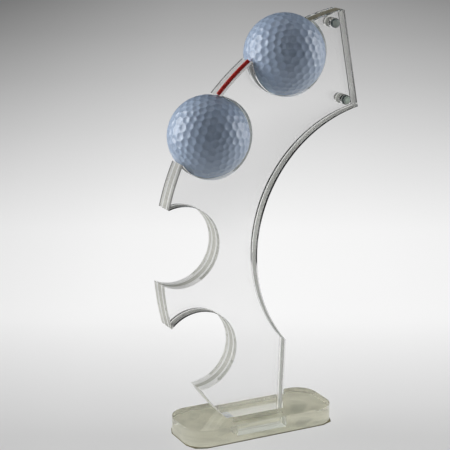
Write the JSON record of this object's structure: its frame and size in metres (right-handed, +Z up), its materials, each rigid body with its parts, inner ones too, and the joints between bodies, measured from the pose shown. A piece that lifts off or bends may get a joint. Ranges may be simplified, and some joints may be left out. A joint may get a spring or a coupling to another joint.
{
  "type": "golf ball display stand",
  "caption": "Clear acrylic crescent standing in a slotted oblong foot, with round notches along its outer edge that hold golf balls.",
  "frame": {"origin": "centre of the underside of the foot, on the surface that the stand rests on", "axes": "+Z up, +X along the foot towards the side that the crescent's top leans over, and the front with the proud pin ends faces -Y"},
  "size_m": [0.1136, 0.0438, 0.225],
  "materials": {
    "aged_acrylic": "olive-tinted clear acrylic, slightly cloudy, polished faces",
    "pad_vinyl": "matt thin vinyl",
    "clear_acrylic": "clear acrylic sheet, polished faces, polished outer edges and a matt saw-cut core edge",
    "pin_acrylic": "clear acrylic rod with matt cut ends",
    "red_cord": "fine braided cord, slightly glossy",
    "ball_cover": "dimpled moulded cover with a thin gloss coat"
  },
  "bodies": {
    "stand": {"foot_block": "aged_acrylic", "foot_pad": "pad_vinyl", "front_sheet": "clear_acrylic", "core_sheet": "clear_acrylic", "back_sheet": "clear_acrylic", "upper_pin": "pin_acrylic", "lower_pin": "pin_acrylic", "retaining_cord": "red_cord"},
    "upper_ball": {"upper_golf_ball": "ball_cover"},
    "lower_ball": {"lower_golf_ball": "ball_cover"}
  },
  "joints": [
    {"name": "upper_ball_out", "type": "slide", "parent": "stand", "child": "upper_ball", "axis": [0, -1, 0], "range_m": [0, 0.03]},
    {"name": "lower_ball_out", "type": "slide", "parent": "stand", "child": "lower_ball", "axis": [0, -1, 0], "range_m": [0, 0.03]}
  ]
}
